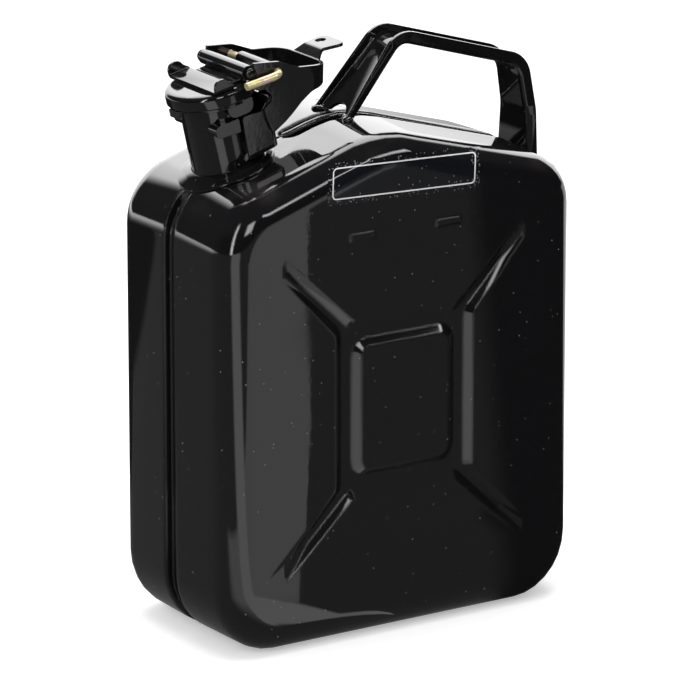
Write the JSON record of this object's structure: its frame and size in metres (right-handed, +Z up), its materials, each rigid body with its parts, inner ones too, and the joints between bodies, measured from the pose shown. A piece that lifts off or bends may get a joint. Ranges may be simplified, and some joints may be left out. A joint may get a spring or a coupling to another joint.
{
  "type": "metal jerry can",
  "caption": "Flat pressed-steel fuel can: two welded half shells with a pressed cross, strap handle, tilted neck, hinged cap with clamp lever and bent locking pin.",
  "frame": {"origin": "on the ground, under the middle of the body", "axes": "+X from the spout to the rear of the handle along the broad face, +Y from the front face to the back face, +Z up"},
  "size_m": [0.2241, 0.1132, 0.3157],
  "materials": {
    "black_paint": "gloss",
    "zinc_steel": "satin",
    "yellow_zinc": "satin",
    "rubber": "matte"
  },
  "bodies": {
    "can": {"front_shell": "black_paint", "back_shell": "black_paint", "seam_weld": "black_paint", "handle": "black_paint", "neck_tube": "black_paint", "neck_collar": "black_paint", "mouth_flange": "black_paint", "near_neck_lug": "black_paint", "far_neck_lug": "black_paint", "hinge_bracket": "black_paint", "hinge_pin": "zinc_steel", "breather_tube": "zinc_steel"},
    "cap": {"cap_shell": "black_paint", "cap_gasket": "rubber", "gasket_retainer": "zinc_steel", "cap_hinge_leaf": "black_paint", "cap_strap": "black_paint", "pivot_barrel": "black_paint"},
    "clamp_lever": {"lever": "black_paint", "pivot_rivet": "black_paint", "pin_sleeve": "black_paint"},
    "locking_pin": {"safety_pin": "yellow_zinc"}
  },
  "joints": [
    {"name": "cap_hinge", "type": "hinge", "parent": "can", "child": "cap", "pos_m": [-0.05559, 0, 0.29691], "axis": [0, 1, 0], "range_deg": [0, 90]},
    {"name": "lever_pivot", "type": "hinge", "parent": "cap", "child": "clamp_lever", "pos_m": [-0.07527, 0, 0.30945], "axis": [0, -1, 0], "range_deg": [0, 120]},
    {"name": "pin_slide", "type": "slide", "parent": "clamp_lever", "child": "locking_pin", "axis": [0, -1, 0], "range_m": [0, 0.045]}
  ],
  "couplings": [
    {"joint": "lever_pivot", "follows": "cap_hinge", "ratio": 1.333}
  ]
}
